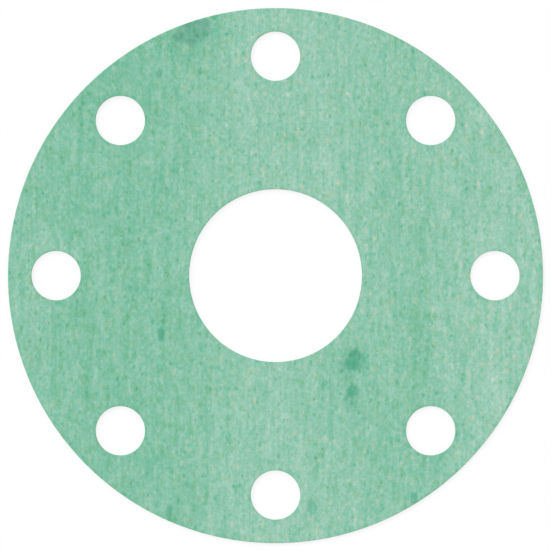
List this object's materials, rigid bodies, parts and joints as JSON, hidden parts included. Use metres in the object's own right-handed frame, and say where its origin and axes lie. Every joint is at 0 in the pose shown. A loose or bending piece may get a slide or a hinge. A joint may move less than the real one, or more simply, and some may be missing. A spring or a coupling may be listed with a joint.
{
  "type": "flat gasket",
  "caption": "Full-face flat gasket: thin round fibre sheet with a central flow bore and a ring of bolt holes, clamped between two pipe flanges to seal their joint.",
  "frame": {"origin": "middle of the lower sealing face, on the axis of the flow bore", "axes": "+Z through the sheet along the bore axis, +X through the middle of the first bolt hole"},
  "size_m": [0.195, 0.195, 0.002],
  "materials": {
    "fibre_sheet": "matte"
  },
  "bodies": {
    "root": {"gasket": "fibre_sheet"}
  },
  "joints": []
}
